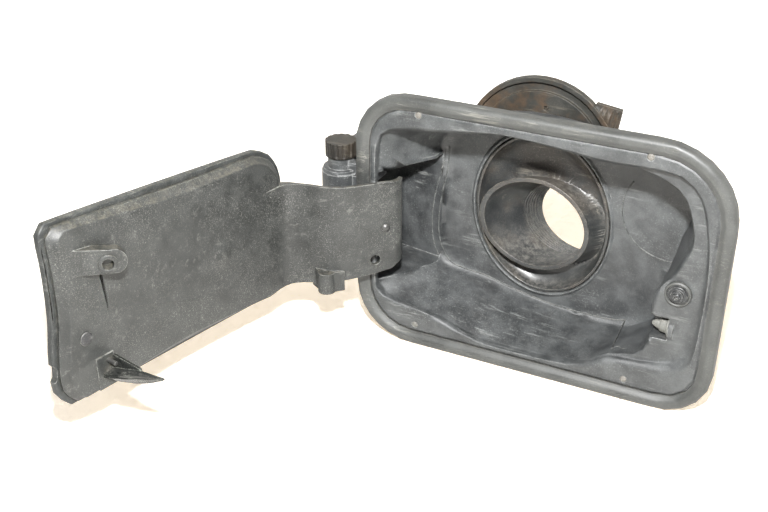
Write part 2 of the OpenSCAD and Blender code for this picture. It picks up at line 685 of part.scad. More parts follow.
module door_carrier() {
    color([0.19, 0.2, 0.21]) placed() difference() {
        union() {
            opened() {
                solid_loft([
                    ring(grown(door_r, -step_1 - 8), cover_back, door_hub),
                    ring(grown(door_r, -step_1 - 0.6), cover_back, door_hub),
                    ring(grown(door_r, -step_1), cover_back + 0.5, door_hub),
                    ring(grown(door_r, -step_1), cover_back + 2, door_hub),
                    ring(grown(door_r, -step_1 - 0.9), cover_back + 2.8, door_hub),
                    ring(grown(door_r, -step_1 - step_2 + 0.8), door_in_y - 2.4, door_hub),
                    ring(grown(door_r, -step_1 - step_2), door_in_y - 0.8, door_hub),
                    ring(grown(door_r, -step_1 - step_2 - 1.4), door_in_y, door_hub),
                    ring(grown(door_r, -step_1 - step_2 - 24), door_in_y + 0.5, door_hub)]);
                eye_boss();
                hook_seat();
            }
            plan_and_side(arm_plan, arm_side);
            plan_and_side(web_plan, web_side);
            rod_h(knuckle_r, knuckle_lo, knuckle_lo + knuckle_h);
            rod_h(knuckle_r, knuckle_hi, knuckle_hi + knuckle_h);
            arm_lug();
        }
        rod_h(pin_r, knuckle_lo - 1, knuckle_hi + knuckle_h + 1);
        rod_h(spring_r + 2.2, knuckle_lo + knuckle_h, knuckle_hi);
        key_hole();
        rivet_hole();
        opened() {
            eye_hole();
            buffer_hole();
        }
        translate([lug_at.x, lug_at.y, 30]) cylinder(r = 2, h = 40);
    }
}

cover_back = -1.4;
lug_at = [-8, -24.5];
spring_r = pin_r + 1 + spring_wire_r;

module arm_lug() {
    intersection() {
        translate([0, 0, 41]) linear_extrude(14) polygon(concat(
            arc(lug_at, 5.6, -170, 10, 8), [[2, -19], [-20, -21.5]]));
        block([-40, -60, 41], [40, 20, 55]);
    }
}

module key_hole() {
    along_end(17, 60) {
        cylinder(r = 3.4, h = 20, center = true);
        rotate([0, 0, 205]) translate([0, -1, -10]) cube([8.4, 2, 20]);
    }
}

rivet_at = [22, 82];

module rivet_hole() {
    along_end(rivet_at.x, rivet_at.y) cylinder(r = 1.6, h = 12, center = true);
}

// A frame on the outer face of the arm's straight end: X along it, Y up, Z out of it.
module along_end(x, z) {
    p = hinge + arm_r * [cos(-43), sin(-43)];
    d = arm_end - p;
    translate([x, p.y + d.y * (x - p.x) / d.x, z])
        rotate([0, 0, atan2(d.y, d.x)])
            rotate([90, 0, 0])
                children();
}

// The eye is a slanted tongue. Its frame starts where its front face leaves the door:
// X runs back along the face, Y out of it and Z up.
eye_root = [184, 5];
eye_lean = 31.6;
eye_at = [-17.3, 119.7];

module along_eye() {
    translate([eye_root.x, eye_root.y, 0]) rotate([0, 0, -eye_lean]) children();
}

module eye_boss() {
    along_eye()
        slab_y(concat(arc([eye_at.x - 3, eye_at.y + 0.6], eye_end_r, 80, 250, 10),
            [[2, 115.4], [2, 130.6]]), -eye_t, 0);
}

module eye_hole() {
    along_eye() rod_y(eye_at.x, eye_at.y, eye_r + eye_bush_t + seat_gap / 2, -eye_t - 2, 2);
}

module eye_bush() {
    color([0.3, 0.31, 0.32]) placed() opened() along_eye()
        translate([eye_at.x, 0, eye_at.y]) rotate([-90, 0, 0]) rotate_extrude()
            polygon([[eye_r, -eye_t], [eye_r + eye_bush_t, -eye_t], [eye_r + eye_bush_t, 0.05],
                [eye_r + 2, 0.05], [eye_r + 2, 0.5], [eye_r + 1.4, 0.9], [eye_r, 0.9]]);
}

buffer_at = [183, 77];

module buffer_hole() {
    rod_y(buffer_at.x, buffer_at.y, 3, door_in_y - 3, door_in_y + 3);
    rod_y(buffer_at.x, buffer_at.y, 4.1, door_in_y, door_in_y + 3);
}

module door_buffer() {
    color([0.13, 0.13, 0.14]) placed() opened()
        translate([buffer_at.x, door_in_y, buffer_at.y]) rotate([-90, 0, 0])
            rotate_extrude()
                polygon([[0, -2.9], [2.9, -2.9], [2.9, 0.1], [4, 0.1], [4, 0.7], [2.8, 1.3], [0, 1.5]]);
}

module door_cover() {
    y1 = cover_back - 0.05;
    y0 = y1 - cover_t;
    color([0.14, 0.15, 0.16]) placed() opened() difference() {
        solid_loft([
            ring(grown(door_r, -34), y0 - cover_crown, door_hub),
            ring(grown(door_r, -14), y0 - cover_crown * 0.6, door_hub),
            ring(grown(door_r, -1.2), y0, door_hub),
            ring(grown(door_r, -0.2), y0 + 0.7, door_hub),
            ring(door_r, y0 + 1.6, door_hub),
            ring(door_r, y1 - 0.9, door_hub),
            ring(grown(door_r, -0.6), y1 - 0.2, door_hub),
            ring(grown(door_r, -1.6), y1, door_hub)]);
        torn_edge();
    }
}

// The piece that has broken out of the cover's lock side edge.
module torn_edge() {
    translate([0, 2, 0]) rotate([90, 0, 0]) linear_extrude(12)
        polygon([[210, 67], [201, 66], [199.4, 63], [200.2, 57], [201.4, 55.4], [210, 55]]);
}

hook_z = [42.6, 61];
hook_y = door_in_y + 1.25;
hook_eye_gap = 0.7;
// The screw sits in the fin above the hook's body.
hook_fin_x = hook_x[0] + 2.6;
hook_screw_z = hook_z[0] + 15.9;

module hook_seat() {
    block([hook_x[0] - 1.6, door_in_y - 1.5, hook_z[0] - 1], [hook_x[1] + 1.6, door_in_y + 1.2, hook_z[1] + 1]);
}

// The hook's side view: a deep root with an eye for the plunger and a beak that rises.
module latch_hook() {
    eye = plunger_r + hook_eye_gap;
    color([0.09, 0.09, 0.1]) placed() opened() difference() {
        translate([hook_x[0], 0, 0]) rotate([90, 0, 90]) linear_extrude(hook_x[1] - hook_x[0])
            polygon([[hook_y, hook_z[0]], [hook_y + 13, hook_z[0] + 2.6], [hook_y + hook_len * 0.5, hook_z[0] + 7.2],
                [hook_y + hook_len - 6, hook_z[0] + 15.2], [hook_y + hook_len - 0.8, hook_z[0] + 18.8],
                [hook_y + hook_len, hook_z[0] + 20], [hook_y + hook_len - 1, hook_z[0] + 21],
                [hook_y + hook_len * 0.56, hook_z[1] + 0.6], [hook_y, hook_z[1]]]);
        block([hook_x[0] - 1, lock_at.x - eye, lock_at.y - eye], [hook_x[1] + 1, lock_at.x + eye, lock_at.y + eye]);
        hook_flanks();
        hook_shoulder();
        for (lift = [0.6, 4.6])
            hook_groove(lift);
        rod_y(hook_fin_x, hook_screw_z, 1.3, hook_y - 1, hook_y + 8);
    }
}

// Tapers both flanks of the hook towards its beak.
module hook_flanks() {
    half = hook_x[1] - hook_mid;
    for (side = [0, 1])
        translate([hook_mid, 0, hook_z[0] - 10]) mirror([side, 0, 0]) linear_extrude(50)
            polygon([[half + 0.1, hook_y + 16], [1.3, hook_y + hook_len + 0.1], [20, hook_y + hook_len + 0.1],
                [20, hook_y + 16]]);
}

// Leaves only a thin fin above the hook's body.
module hook_shoulder() {
    translate([hook_mid + 1, 0, 0]) rotate([90, 0, 90]) linear_extrude(20)
        polygon([[hook_y - 1, hook_z[0] + 12.8], [hook_y + hook_len * 0.56, hook_z[1] + 0.2],
            [hook_y + hook_len * 0.56, hook_z[1] + 9], [hook_y - 1, hook_z[1] + 9]]);
}

// A groove along the hook's outer flank, lift above its lower edge.
module hook_groove(lift) {
    translate([hook_x[1] - 0.7, hook_y + 14, hook_z[0] + 3.6 + lift])
        rotate([24, 0, 0])
            rotate([0, 0, 8])
                block([0, 0, 0], [3, hook_len, 1.2]);
}

module hook_screw() {
    color([0.5, 0.5, 0.5]) placed() opened() {
        rod_y(hook_fin_x, hook_screw_z, 1.2, hook_y + 0.05, hook_y + 6.8);
    }
}

module hinge_pin() {
    color([0.6, 0.6, 0.62]) placed() {
        rod_h(pin_r, case_z0 - wall - 3.4, neck_z + 0.5);
        rod_h(pin_r + 1.8, neck_z + 0.4, neck_z + 2.4);
    }
}

module pin_clip() {
    color([0.55, 0.55, 0.56]) placed() difference() {
        rod_h(pin_r + 2.4, case_z0 - wall - 2, case_z0 - wall - 0.4);
        rod_h(pin_r, case_z0 - wall - 4, case_z0);
    }
}

// One point of a ring of wire on the spring's helix.
function coil_point(a, b, z) = [
    hinge.x + (spring_r + spring_wire_r * cos(b)) * cos(a),
    hinge.y + (spring_r + spring_wire_r * cos(b)) * sin(a),
    z + spring_wire_r * sin(b)];

module hinge_spring() {
    z0 = knuckle_lo + knuckle_h + spring_wire_r + 0.3;
    z1 = knuckle_hi - spring_wire_r - 0.3;
    steps = 14 * spring_turns;
    color([0.5, 0.5, 0.52]) placed()
        solid_loft([for (i = [0:steps]) [for (j = [0:7])
            coil_point(360 * spring_turns * i / steps, 45 * j, z0 + (z1 - z0) * i / steps)]]);
}

module stop_rivet() {
    color([0.62, 0.62, 0.6]) placed() along_end(rivet_at.x, rivet_at.y) rotate_extrude()
        polygon([[0, -arm_t - 4.4], [1.55, -arm_t - 4.4], [1.55, 0.05], [2.9, 0.05], [2.7, 0.7], [1.4, 1.5], [0, 1.7]]);
}

module stop_buffer() {
    color([0.1, 0.1, 0.1]) placed() along_end(rivet_at.x, rivet_at.y) difference() {
        translate([0, 0, -arm_t - 3.4]) cylinder(r = 3.2, h = 3.35);
        translate([0, 0, -arm_t - 9]) cylinder(r = 1.6, h = 12);
    }
}

housing();
rim_seal();
fixing_pegs();
filler_sleeve();
rear_boot();
fixing_bolt();
bolt_washer();
bolt_grommet();
hinge_bush_upper();
hinge_bush_lower();
hinge_cap();
actuator_body();
actuator_cover();
actuator_screws();
connector_terminals();
plunger_guide();
lock_plunger();
door_carrier();
door_cover();
latch_hook();
hook_screw();
eye_bush();
door_buffer();
hinge_pin();
pin_clip();
hinge_spring();
stop_rivet();
stop_buffer();
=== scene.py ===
"""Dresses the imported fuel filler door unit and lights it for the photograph's view.

Lengths are in metres in the part's own frame: X from the hinge to the lock, Y into the
pocket and Z up, with the origin in the middle of the four fixing pegs.
"""

import logging
import math
from collections.abc import Callable, Iterable
from dataclasses import dataclass, field
from enum import Enum

import bmesh
import bpy
from mathutils import Matrix, Vector
from mathutils.bvhtree import BVHTree


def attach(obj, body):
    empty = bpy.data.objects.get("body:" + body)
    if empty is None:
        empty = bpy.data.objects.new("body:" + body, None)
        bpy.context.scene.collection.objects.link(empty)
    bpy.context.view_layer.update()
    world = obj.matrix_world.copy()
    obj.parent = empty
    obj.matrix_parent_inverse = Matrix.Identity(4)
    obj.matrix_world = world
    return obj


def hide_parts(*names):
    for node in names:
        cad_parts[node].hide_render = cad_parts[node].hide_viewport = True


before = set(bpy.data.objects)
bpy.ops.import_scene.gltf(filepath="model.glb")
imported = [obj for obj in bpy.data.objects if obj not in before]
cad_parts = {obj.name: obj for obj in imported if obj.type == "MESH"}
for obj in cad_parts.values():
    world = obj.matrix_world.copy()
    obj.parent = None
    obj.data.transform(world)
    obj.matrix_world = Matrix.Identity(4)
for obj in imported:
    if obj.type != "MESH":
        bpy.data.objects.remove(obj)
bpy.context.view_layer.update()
LOG = logging.getLogger("filler_door")

Colour = tuple[float, float, float]
Socket = bpy.types.NodeSocket
Value = Socket | float
Tint = Socket | Colour

MM = 0.001
# Millimetres from the rim's lower corner on the hinge side to the part's origin.
RIM_TO_PART = Vector((-110.75, -6.6, -86.5))
# The hinge's axis seen from above, in the rim's millimetres, and the door's turn to open.
HINGE = (-17.0, 14.0)
OPEN_ANGLE = math.radians(-102.0)
# Corners nearer than this are one corner, and faces within this angle are one flat face.
WELD = 0.005 * MM
FLAT = math.radians(0.25)


class Body(Enum):
    """The rigid bodies that the joints move."""

    POCKET = "pocket"
    DOOR = "door"
    PLUNGER = "plunger"


class GroupName(Enum):
    """The shader effects that several finishes share."""

    GRAIN = "moulded_grain"
    SPECKS = "pale_specks"
    DUST = "settled_dust"
    SCUFFS = "long_scuffs"
    WEAR = "edge_wear"
    STAIN = "soft_stain"


def from_rim(x: float, y: float, z: float) -> Vector:
    """Turns a place measured from the rim's lower hinge side corner into the part's frame.

    Args:
        x: millimetres along the rim.
        y: millimetres behind the rim's lip.
        z: millimetres up.

    Returns:
        The same place in metres in the part's frame.
    """
    return (Vector((x, y, z)) + RIM_TO_PART) * MM


def from_closed(x: float, y: float, z: float) -> Vector:
    """Turns a place on the closed door, measured as from_rim does, to where it is when open."""
    turn = Matrix.Rotation(OPEN_ANGLE, 3, "Z")
    pivot = Vector((*HINGE, 0.0))
    return from_rim(*(turn @ (Vector((x, y, z)) - pivot) + pivot))


def curved(points: list[tuple[float, ...]], steps: int = 8) -> list[Vector]:
    """Draws a smooth open line through some points.

    Args:
        points: the points in order.
        steps: how many parts each stretch between two points is cut into.

    Returns:
        The points of the smooth line.
    """
    known = [Vector(p) for p in points]
    known = [2 * known[0] - known[1], *known, 2 * known[-1] - known[-2]]
    line = []
    for a, b, c, d in zip(known, known[1:], known[2:], known[3:]):
        for i in range(steps):
            t = i / steps
            line.append(0.5 * (2 * b + (c - a) * t + (2 * a - 5 * b + 4 * c - d) * t * t
                               + (3 * b - a - 3 * c + d) * t ** 3))
    return [*line, known[-2]]


class Tree:
    """Adds nodes to one shader or geometry tree and links them."""

    def __init__(self, tree: bpy.types.NodeTree) -> None:
        """Keeps the tree that the nodes go into."""
        self.tree = tree

    def add(self, kind: str, inputs: dict | None = None, **settings) -> bpy.types.Node:
        """Adds one node.

        Args:
            kind: the node's type name.
            inputs: values, or sockets to link from, by the input's name or number.
            settings: the node's own properties.

        Returns:
            The new node.
        """
        node = self.tree.nodes.new(kind)
        for name, value in settings.items():
            setattr(node, name, value)
        for key, value in (inputs or {}).items():
            socket = node.inputs[key]
            if isinstance(value, Socket):
                self.tree.links.new(value, socket)
            else:
                socket.default_value = value
        return node

    def math(self, operation: str, a: Value, b: Value = 0.0, clamp: bool = False) -> Socket:
        """Returns the result of one Math node on two values or sockets."""
        return self.add("ShaderNodeMath", {0: a, 1: b}, operation=operation,
                        use_clamp=clamp).outputs[0]

    def ramp(self, value: Value, low: float, high: float) -> Socket:
        """Returns 0 below low and 1 above high, with a smooth step between."""
        node = self.add("ShaderNodeMapRange", {"Value": value, "From Min": low, "From Max": high},
                        interpolation_type="SMOOTHSTEP")
        return node.outputs["Result"]

    def mix(self, factor: Value, a: Tint, b: Tint) -> Socket:
        """Returns colour a turned into colour b by factor."""
        node = self.add("ShaderNodeMix", {0: factor, 6: self.rgba(a), 7: self.rgba(b)},
                        data_type="RGBA")
        return node.outputs[2]

    def noise(self, vector: Socket, scale: Value, detail: float, rough: float = 0.5) -> Socket:
        """Returns a noise value between 0 and 1."""
        node = self.add("ShaderNodeTexNoise", {"Vector": vector, "Scale": scale, "Detail": detail,
                                               "Roughness": rough})
        return node.outputs["Fac"]

    def group(self, name: GroupName, inputs: dict) -> dict[str, Socket]:
        """Places a shared effect and returns its outputs by name."""
        node = self.add("ShaderNodeGroup", inputs, node_tree=bpy.data.node_groups[name.value])
        return {socket.name: socket for socket in node.outputs}

    @staticmethod
    def rgba(value: Tint) -> Socket | tuple[float, float, float, float]:
        """Returns a colour of three numbers with its fourth, and leaves a socket as it is."""
        return value if isinstance(value, Socket) else (*value, 1.0)


class EffectLibrary:
    """Builds the shader effects that the finishes share."""

    def build(self) -> None:
        """Builds every group."""
        self.grain()
        self.specks()
        self.dust()
        self.scuffs()
        self.wear()
        self.stain()

    @staticmethod
    def start(name: GroupName, inputs: dict[str, tuple[str, float]],
              outputs: dict[str, str]) -> tuple[Tree, dict, bpy.types.Node]:
        """Starts a shader group.

        Args:
            name: the group's name.
            inputs: for each input its socket type and its default.
            outputs: for each output its socket type.

        Returns:
            The tree, the group's input sockets by name, and its output node.
        """
        tree = bpy.data.node_groups.new(name.value, "ShaderNodeTree")
        for key, (kind, default) in inputs.items():
            socket = tree.interface.new_socket(key, in_out="INPUT", socket_type=kind)
            if kind == "NodeSocketFloat":
                socket.default_value = default
        for key, kind in outputs.items():
            tree.interface.new_socket(key, in_out="OUTPUT", socket_type=kind)
        builder = Tree(tree)
        entry = builder.add("NodeGroupInput")
        leave = builder.add("NodeGroupOutput")
        return builder, {s.name: s for s in entry.outputs}, leave

    def grain(self) -> None:
        """Fine texture of moulded plastic: a height and a slow change of tone."""
        tree, given, leave = self.start(
            GroupName.GRAIN,
            {"Vector": ("NodeSocketVector", 0.0), "Scale": ("NodeSocketFloat", 1400.0),
             "Cloud Scale": ("NodeSocketFloat", 45.0)},
            {"Height": "NodeSocketFloat", "Tone": "NodeSocketFloat"})
        fine = tree.noise(given["Vector"], given["Scale"], 3.0, 0.65)
        pits = tree.noise(given["Vector"], tree.math("MULTIPLY", given["Scale"], 0.22), 4.0, 0.6)
        cloud = tree.noise(given["Vector"], given["Cloud Scale"], 6.0, 0.62)
        height = tree.math("ADD", tree.math("MULTIPLY", fine, 0.6), tree.math("MULTIPLY", pits, 0.7))
        tone = tree.math("ADD", tree.math("MULTIPLY", tree.ramp(cloud, 0.34, 0.66), 0.7),
                         tree.math("MULTIPLY", tree.ramp(fine, 0.35, 0.68), 0.3))
        tree.tree.links.new(height, leave.inputs["Height"])
        tree.tree.links.new(tone, leave.inputs["Tone"])

    def specks(self) -> None:
        """Pale grit that lies thick in some patches and thin in others."""
        tree, given, leave = self.start(
            GroupName.SPECKS,
            {"Vector": ("NodeSocketVector", 0.0), "Scale": ("NodeSocketFloat", 900.0),
             "Patch Scale": ("NodeSocketFloat", 28.0), "Amount": ("NodeSocketFloat", 0.5)},
            {"Mask": "NodeSocketFloat"})
        grit = tree.ramp(tree.noise(given["Vector"], given["Scale"], 4.0, 0.75), 0.53, 0.68)
        patch = tree.ramp(tree.noise(given["Vector"], given["Patch Scale"], 5.0, 0.6), 0.38, 0.66)
        mask = tree.math("MULTIPLY", grit, tree.math("ADD", tree.math("MULTIPLY", patch, 0.85), 0.15))
        mask = tree.math("MULTIPLY", mask, given["Amount"], clamp=True)
        tree.tree.links.new(mask, leave.inputs["Mask"])

    def dust(self) -> None:
        """Dust that settles on what faces up and gathers in corners."""
        tree, given, leave = self.start(
            GroupName.DUST,
            {"Vector": ("NodeSocketVector", 0.0), "Scale": ("NodeSocketFloat", 330.0),
             "Top": ("NodeSocketFloat", 0.5), "Corners": ("NodeSocketFloat", 0.5),
             "Corner Size": ("NodeSocketFloat", 0.006)},
            {"Mask": "NodeSocketFloat"})
        normal = tree.add("ShaderNodeNewGeometry").outputs["Normal"]
        up = tree.add("ShaderNodeSeparateXYZ", {0: normal}).outputs["Z"]
        lie = tree.math("MULTIPLY", tree.ramp(up, 0.25, 1.0), given["Top"])
        shade = tree.add("ShaderNodeAmbientOcclusion", {"Distance": given["Corner Size"]},
                         samples=4).outputs["AO"]
        corner = tree.math("MULTIPLY", tree.ramp(tree.math("SUBTRACT", 1.0, shade), 0.25, 0.75),
                           given["Corners"])
        breakup = tree.ramp(tree.noise(given["Vector"], given["Scale"], 8.0, 0.85), 0.42, 0.62)
        mask = tree.math("MULTIPLY", tree.math("ADD", lie, corner), breakup, clamp=True)
        tree.tree.links.new(mask, leave.inputs["Mask"])

    def scuffs(self) -> None:
        """Long rub marks along the first axis of the vector that comes in."""
        tree, given, leave = self.start(
            GroupName.SCUFFS,
            {"Vector": ("NodeSocketVector", 0.0), "Scale": ("NodeSocketFloat", 240.0),
             "Stretch": ("NodeSocketFloat", 0.08), "Amount": ("NodeSocketFloat", 0.5)},
            {"Mask": "NodeSocketFloat"})
        parts = tree.add("ShaderNodeSeparateXYZ", {0: given["Vector"]}).outputs
        drawn = tree.add("ShaderNodeCombineXYZ", {
            0: tree.math("MULTIPLY", parts["X"], given["Stretch"]), 1: parts["Y"], 2: parts["Z"]})
        line = tree.ramp(tree.noise(drawn.outputs[0], given["Scale"], 5.0, 0.8), 0.54, 0.66)
        where = tree.ramp(tree.noise(given["Vector"], 22.0, 3.0, 0.6), 0.45, 0.62)
        mask = tree.math("MULTIPLY", tree.math("MULTIPLY", line, where), given["Amount"], clamp=True)
        tree.tree.links.new(mask, leave.inputs["Mask"])

    def wear(self) -> None:
        """Rubbed edges: where a rounded normal leaves the surface's own normal."""
        tree, given, leave = self.start(
            GroupName.WEAR,
            {"Vector": ("NodeSocketVector", 0.0), "Radius": ("NodeSocketFloat", 0.0008),
             "Breakup": ("NodeSocketFloat", 260.0), "Amount": ("NodeSocketFloat", 0.6)},
            {"Mask": "NodeSocketFloat", "Rounded": "NodeSocketVector"})
        rounded = tree.add("ShaderNodeBevel", {"Radius": given["Radius"]}, samples=6).outputs[0]
        own = tree.add("ShaderNodeNewGeometry").outputs["Normal"]
        meet = tree.add("ShaderNodeVectorMath", {0: rounded, 1: own}, operation="DOT_PRODUCT")
        edge = tree.ramp(tree.math("SUBTRACT", 1.0, meet.outputs["Value"]), 0.01, 0.16)
        breakup = tree.ramp(tree.noise(given["Vector"], given["Breakup"], 5.0, 0.7), 0.38, 0.6)
        mask = tree.math("MULTIPLY", tree.math("MULTIPLY", edge, breakup), given["Amount"], clamp=True)
        tree.tree.links.new(mask, leave.inputs["Mask"])
        tree.tree.links.new(rounded, leave.inputs["Rounded"])

    def stain(self) -> None:
        """Large soft patches of another tone, such as rust film or dried mud."""
        tree, given, leave = self.start(
            GroupName.STAIN,
            {"Vector": ("NodeSocketVector", 0.0), "Scale": ("NodeSocketFloat", 30.0),
             "Amount": ("NodeSocketFloat", 0.3)},
            {"Mask": "NodeSocketFloat"})
        cloud = tree.ramp(tree.noise(given["Vector"], given["Scale"], 8.0, 0.68), 0.44, 0.66)
        mask = tree.math("MULTIPLY", cloud, given["Amount"], clamp=True)
        tree.tree.links.new(mask, leave.inputs["Mask"])


@dataclass(frozen=True)
class Finish:
    """One finish: its tones, its gloss and how dusty, stained and worn it is."""

    name: str
    dark: Colour
    light: Colour
    slot: str = ""
    rough: float = 0.55
    metallic: float = 0.0
    specular: float = 0.5
    grain: float = 1500.0
    cloud: float = 45.0
    bump: float = 0.35
    depth: float = 0.00018
    specks: float = 0.35
    speck_scale: float = 1000.0
    dust_top: float = 0.3
    dust_corners: float = 0.25
    dust_colour: Colour = (0.36, 0.34, 0.30)
    scuffs: float = 0.3
    scuff_turn: tuple[float, float, float] = (0.0, 0.0, 0.0)
    scuff_stretch: float = 0.08
    scuff_scale: float = 240.0
    pale: Colour = (0.48, 0.48, 0.45)
    wear: float = 0.6
    wear_radius: float = 0.0008
    stain: float = 0.0
    stain_scale: float = 30.0
    stain_colour: Colour = (0.16, 0.10, 0.06)

    def build(self) -> bpy.types.Material:
        """Builds the material.

        Returns:
            The material, named after the finish.
        """
        material = bpy.data.materials.new(self.name)
        material.use_nodes = True
        material.node_tree.nodes.clear()
        tree = Tree(material.node_tree)
        place = tree.add("ShaderNodeTexCoord").outputs["Object"]
        turned = tree.add("ShaderNodeMapping", {"Vector": place, "Rotation": self.scuff_turn})
        grain = tree.group(GroupName.GRAIN, {"Vector": place, "Scale": self.grain,
                                             "Cloud Scale": self.cloud})
        specks = tree.group(GroupName.SPECKS, {"Vector": place, "Scale": self.speck_scale,
                                               "Amount": self.specks})["Mask"]
        dust = tree.group(GroupName.DUST, {"Vector": place, "Top": self.dust_top,
                                           "Corners": self.dust_corners})["Mask"]
        scuffs = tree.group(GroupName.SCUFFS, {
            "Vector": turned.outputs[0], "Stretch": self.scuff_stretch,
            "Scale": self.scuff_scale, "Amount": self.scuffs})["Mask"]
        worn = tree.group(GroupName.WEAR, {"Vector": place, "Radius": self.wear_radius,
                                           "Amount": self.wear})
        colour = tree.mix(grain["Tone"], self.dark, self.light)
        if self.stain:
            stain = tree.group(GroupName.STAIN, {"Vector": place, "Scale": self.stain_scale,
                                                 "Amount": self.stain})["Mask"]
            colour = tree.mix(stain, colour, self.stain_colour)
        colour = tree.mix(dust, colour, self.dust_colour)
        for mask in (specks, scuffs, worn["Mask"]):
            colour = tree.mix(mask, colour, self.pale)
        matt = tree.math("MULTIPLY", tree.math("MAXIMUM", dust, specks), 0.3)
        rough = tree.math("ADD", tree.math("ADD", matt, self.rough - 0.08),
                          tree.math("MULTIPLY", grain["Tone"], 0.16), clamp=True)
        normal = tree.add("ShaderNodeBump", {
            "Height": grain["Height"], "Strength": self.bump, "Distance": self.depth,
            "Normal": worn["Rounded"]}).outputs[0]
        shader = tree.add("ShaderNodeBsdfPrincipled", {
            "Base Color": colour, "Roughness": rough, "Metallic": self.metallic,
            "Specular IOR Level": self.specular, "Normal": normal})
        tree.add("ShaderNodeOutputMaterial", {"Surface": shader.outputs[0]})
        return material


HOUSING = Finish("housing_plastic", (0.022, 0.0245, 0.026), (0.080, 0.085, 0.086), rough=0.54,
                 specular=0.9, specks=0.45, scuffs=0.5, dust_top=0.04, dust_corners=0.20, cloud=70.0,
                 pale=(0.27, 0.28, 0.27), wear=0.9, wear_radius=0.0012, bump=0.6,
                 stain=0.6, stain_scale=46.0, stain_colour=(0.015, 0.016, 0.017))
# Pale beads: rub marks, and painted highlight where the back wall's ridges catch the light.
RUB_AND_RIDGE_HIGHLIGHT = Finish("rubbed_ridge", (0.022, 0.025, 0.026), (0.15, 0.155, 0.148), slot="housing_plastic",
             rough=0.5, cloud=210.0, specks=0.4, speck_scale=1400.0, scuffs=0.2, wear=0.0)
RUBBER = Finish("rim_rubber", (0.026, 0.028, 0.027), (0.072, 0.075, 0.071), rough=0.52, grain=1100.0,
                specular=0.9, cloud=38.0, specks=0.30, scuffs=0.8, scuff_stretch=0.05, dust_top=0.15,
                wear=0.35, pale=(0.24, 0.235, 0.205), dust_colour=(0.16, 0.145, 0.115),
                stain=0.3, stain_scale=26.0, stain_colour=(0.030, 0.030, 0.028))
DOOR = Finish("door_plastic", (0.009, 0.0105, 0.010), (0.034, 0.036, 0.034), rough=0.50, grain=1700.0,
              specular=0.8, specks=0.75, speck_scale=1500.0, scuffs=0.25, dust_top=0.30,
              dust_corners=0.30, dust_colour=(0.30, 0.27, 0.20), pale=(0.29, 0.29, 0.265), cloud=90.0,
              wear=0.8, bump=0.8, scuff_turn=(0.0, 0.35, 0.0))
COVER = Finish("cover_plastic", (0.015, 0.017, 0.017), (0.045, 0.048, 0.047), rough=0.45, specks=0.4,
               scuffs=0.4, dust_top=0.3, dust_colour=(0.26, 0.245, 0.19), wear=0.9, cloud=90.0,
               pale=(0.27, 0.27, 0.25))
SLEEVE = Finish("sleeve_plastic", (0.013, 0.0145, 0.016), (0.046, 0.048, 0.047), rough=0.38,
                specular=0.7, specks=0.45, scuffs=0.5, dust_top=0.30, dust_corners=0.25, stain=0.35,
                wear=0.8, bump=0.4, stain_colour=(0.075, 0.053, 0.035), pale=(0.25, 0.23, 0.19))
BOOT = Finish("boot_rubber", (0.014, 0.015, 0.013), (0.040, 0.039, 0.034), rough=0.55, specks=0.25,
              scuffs=0.3, stain=0.75, stain_scale=38.0, stain_colour=(0.085, 0.050, 0.026), wear=0.5,
              pale=(0.20, 0.18, 0.14), dust_colour=(0.12, 0.10, 0.07))
CAP = Finish("cap_plastic", (0.003, 0.003, 0.0025), (0.016, 0.0145, 0.012), rough=0.5, specks=0.3,
             stain=0.5, stain_colour=(0.045, 0.032, 0.020), wear=0.5, pale=(0.15, 0.13, 0.10),
             dust_colour=(0.07, 0.06, 0.045))
HOOK = Finish("hook_plastic", (0.006, 0.007, 0.007), (0.020, 0.022, 0.020), rough=0.18, specks=0.2,
              specular=0.8, scuffs=0.35, dust_top=0.10, wear=0.8, bump=0.1, pale=(0.30, 0.31, 0.27))
LOCK = Finish("lock_plastic", (0.018, 0.018, 0.019), (0.045, 0.045, 0.047), rough=0.45)
GREY = Finish("grey_plastic", (0.07, 0.073, 0.065), (0.17, 0.17, 0.155), rough=0.6, specks=0.5,
              bump=0.8, depth=0.0005, grain=900.0)
PALE = Finish("pale_plastic", (0.09, 0.09, 0.08), (0.19, 0.185, 0.17), rough=0.55, specks=0.4,
              stain=0.2)
ZINC = Finish("zinc_steel", (0.06, 0.06, 0.06), (0.15, 0.15, 0.145), rough=0.42, metallic=0.7,
              specks=0.1, stain=0.4, stain_colour=(0.03, 0.028, 0.025))
BLACK_STEEL = Finish("black_steel", (0.018, 0.019, 0.021), (0.060, 0.063, 0.065), rough=0.36,
                     metallic=0.3, specks=0.3, wear=0.9, pale=(0.30, 0.30, 0.29))
BRASS = Finish("brass", (0.42, 0.33, 0.16), (0.60, 0.48, 0.26), rough=0.35, metallic=0.9, specks=0.1)

FINISHES = (HOUSING, RUB_AND_RIDGE_HIGHLIGHT, RUBBER, DOOR, COVER, SLEEVE, BOOT, CAP, HOOK, LOCK, GREY, PALE, ZINC,
            BLACK_STEEL, BRASS)


